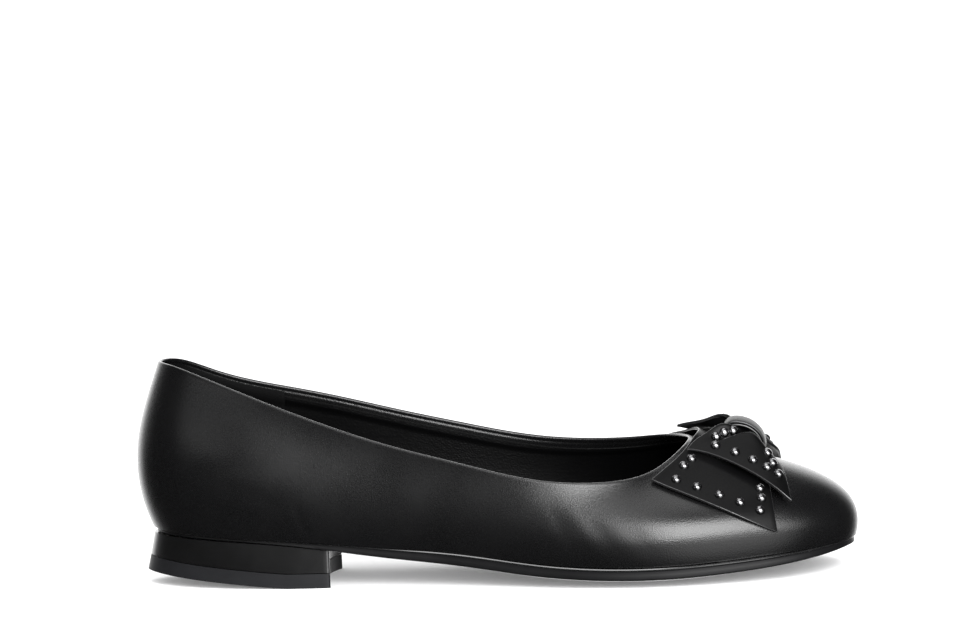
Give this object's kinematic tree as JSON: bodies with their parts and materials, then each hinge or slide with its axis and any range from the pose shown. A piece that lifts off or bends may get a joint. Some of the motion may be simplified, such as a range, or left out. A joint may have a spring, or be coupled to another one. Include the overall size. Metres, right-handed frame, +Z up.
{
  "type": "ballet flat",
  "caption": "Low-heeled leather ballet flat for the right foot, with a folded two-layer bow of studded strips on its vamp",
  "frame": {"origin": "on the floor, in the middle of the flat spot under the heel", "axes": "+X from the heel to the toe, +Z up, -Y towards the outer side of the right foot"},
  "size_m": [0.2501, 0.0796, 0.0776],
  "materials": {
    "upper_leather": "semi-gloss, fine pebble grain",
    "bow_leather": "satin, smoother than the upper",
    "lining": "matt",
    "sole_rubber": "satin",
    "heel_lacquer": "glossy black",
    "wear_rubber": "matt",
    "gunmetal": "polished dark metal"
  },
  "bodies": {
    "root": {"upper": "upper_leather", "outsole": "sole_rubber", "insole": "lining", "heel_block": "heel_lacquer", "top_piece": "wear_rubber", "bow_lower": "bow_leather", "bow_upper": "bow_leather", "bow_knot": "bow_leather", "stud_lower_outer_1": "gunmetal", "stud_lower_outer_2": "gunmetal", "stud_lower_outer_3": "gunmetal", "stud_lower_outer_4": "gunmetal", "stud_lower_outer_5": "gunmetal", "stud_lower_outer_6": "gunmetal", "stud_lower_outer_7": "gunmetal", "stud_lower_outer_8": "gunmetal", "stud_lower_outer_9": "gunmetal", "stud_lower_inner_1": "gunmetal", "stud_lower_inner_2": "gunmetal", "stud_lower_inner_3": "gunmetal", "stud_lower_inner_4": "gunmetal", "stud_lower_inner_5": "gunmetal", "stud_lower_inner_6": "gunmetal", "stud_lower_inner_7": "gunmetal", "stud_lower_inner_8": "gunmetal", "stud_lower_inner_9": "gunmetal", "stud_upper_outer_1": "gunmetal", "stud_upper_outer_2": "gunmetal", "stud_upper_outer_3": "gunmetal", "stud_upper_outer_4": "gunmetal", "stud_upper_outer_5": "gunmetal", "stud_upper_outer_6": "gunmetal", "stud_upper_outer_7": "gunmetal", "stud_upper_outer_8": "gunmetal", "stud_upper_outer_9": "gunmetal", "stud_upper_outer_10": "gunmetal", "stud_upper_inner_1": "gunmetal", "stud_upper_inner_2": "gunmetal", "stud_upper_inner_3": "gunmetal", "stud_upper_inner_4": "gunmetal", "stud_upper_inner_5": "gunmetal", "stud_upper_inner_6": "gunmetal", "stud_upper_inner_7": "gunmetal", "stud_upper_inner_8": "gunmetal", "stud_upper_inner_9": "gunmetal", "stud_upper_inner_10": "gunmetal"}
  },
  "joints": []
}
